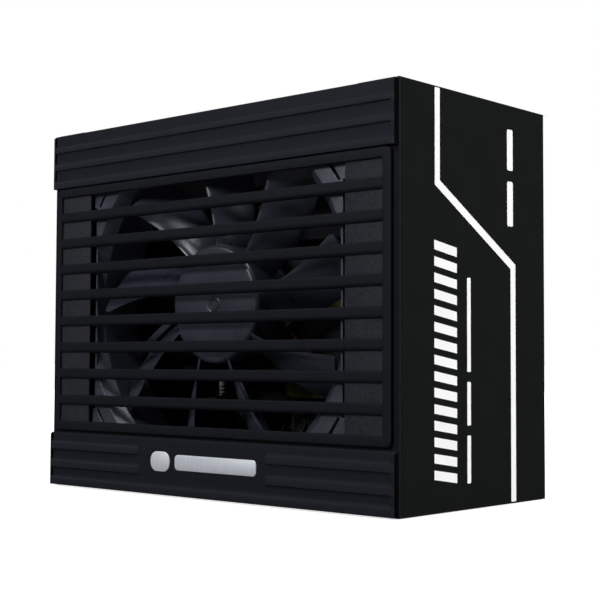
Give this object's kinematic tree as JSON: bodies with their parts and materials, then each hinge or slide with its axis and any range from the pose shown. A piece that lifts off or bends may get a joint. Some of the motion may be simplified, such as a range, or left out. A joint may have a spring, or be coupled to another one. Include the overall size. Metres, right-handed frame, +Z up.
{
  "type": "computer power supply unit",
  "caption": "Compact computer power supply in a dark steel case with a slatted fan grille, ribbed trim, mains inlet, rocker switch and detachable-cable sockets.",
  "frame": {"origin": "centre of the case footprint on the ground, with the case standing on its cable-socket end", "axes": "+Z up towards the mains end, -Y out of the fan side, +X towards the right label side"},
  "size_m": [0.125, 0.0636, 0.1045],
  "materials": {
    "black_powder_coat": "fine textured powder coat",
    "dark_label": "matte printed film",
    "light_label": "matte printed film",
    "silver_badge": "satin",
    "black_screw": "black oxide",
    "fan_plastic": "satin moulded",
    "black_plastic": "satin moulded",
    "plated_steel": "bright plated",
    "tinned_brass": "tinned",
    "ferrite": "dull ceramic",
    "copper": "enamelled copper",
    "green_board": "solder mask",
    "clear_film": "satin film",
    "anodised_aluminium": "black anodised",
    "capacitor_sleeve": "shrunk sleeve",
    "yellow_tape": "wrapped tape",
    "blue_coating": "dipped coating",
    "brown_coating": "dipped coating",
    "grey_case": "satin moulded",
    "wire_sheath": "extruded insulation",
    "fuse_glass": "glass tube with metal ends"
  },
  "bodies": {
    "case": {"base_shell": "black_powder_coat", "cover_shell": "black_powder_coat", "upper_trim": "black_powder_coat", "lower_trim": "black_powder_coat", "badge": "silver_badge", "fan_grille": "black_powder_coat", "right_label": "dark_label", "left_label": "dark_label", "rating_label": "light_label", "cover_screws": "black_screw", "fan_screws": "black_screw", "fan_frame": "fan_plastic", "fan_bearing": "tinned_brass", "stator_core": "plated_steel", "stator_coils": "copper", "fan_board": "green_board", "fan_cable": "wire_sheath", "inlet_body": "black_plastic", "inlet_pins": "tinned_brass", "switch_body": "black_plastic", "switch_terminals": "tinned_brass", "mains_wires": "wire_sheath", "earth_lead": "wire_sheath", "earth_screw": "plated_steel", "main_board": "green_board", "insulation_sheet": "clear_film", "board_standoffs": "tinned_brass", "board_screws": "plated_steel", "bulk_capacitor": "capacitor_sleeve", "bridge_rectifier": "black_plastic", "primary_heatsink": "anodised_aluminium", "power_transistors": "black_plastic", "pfc_choke": "copper", "transformer_core": "ferrite", "transformer_winding": "yellow_tape", "standby_transformer": "yellow_tape", "resonant_choke": "copper", "filter_choke_cores": "ferrite", "filter_choke_windings": "copper", "x_capacitors": "grey_case", "y_capacitors": "blue_coating", "fuse": "fuse_glass", "relay": "capacitor_sleeve", "thermistor": "green_board", "film_capacitors": "brown_coating", "secondary_heatsink": "anodised_aluminium", "output_rectifiers": "black_plastic", "output_capacitors": "capacitor_sleeve", "converter_board": "green_board", "control_board": "green_board", "bus_bars": "copper", "socket_board": "green_board", "main_sockets": "black_plastic", "small_sockets": "black_plastic", "socket_contacts": "tinned_brass"},
    "fan_blades": {"fan_rotor": "fan_plastic", "rotor_yoke": "plated_steel", "rotor_magnet": "ferrite", "fan_shaft": "plated_steel"},
    "rocker": {"switch_rocker": "black_plastic"}
  },
  "joints": [
    {"name": "fan_spin", "type": "hinge", "parent": "case", "child": "fan_blades", "pos_m": [0, -0.0215, 0.05], "axis": [0, 1, 0], "continuous": true},
    {"name": "rocker_press", "type": "hinge", "parent": "case", "child": "rocker", "pos_m": [-0.008, 0.008, 0.0997], "axis": [1, 0, 0], "range_deg": [-22, 0]}
  ]
}
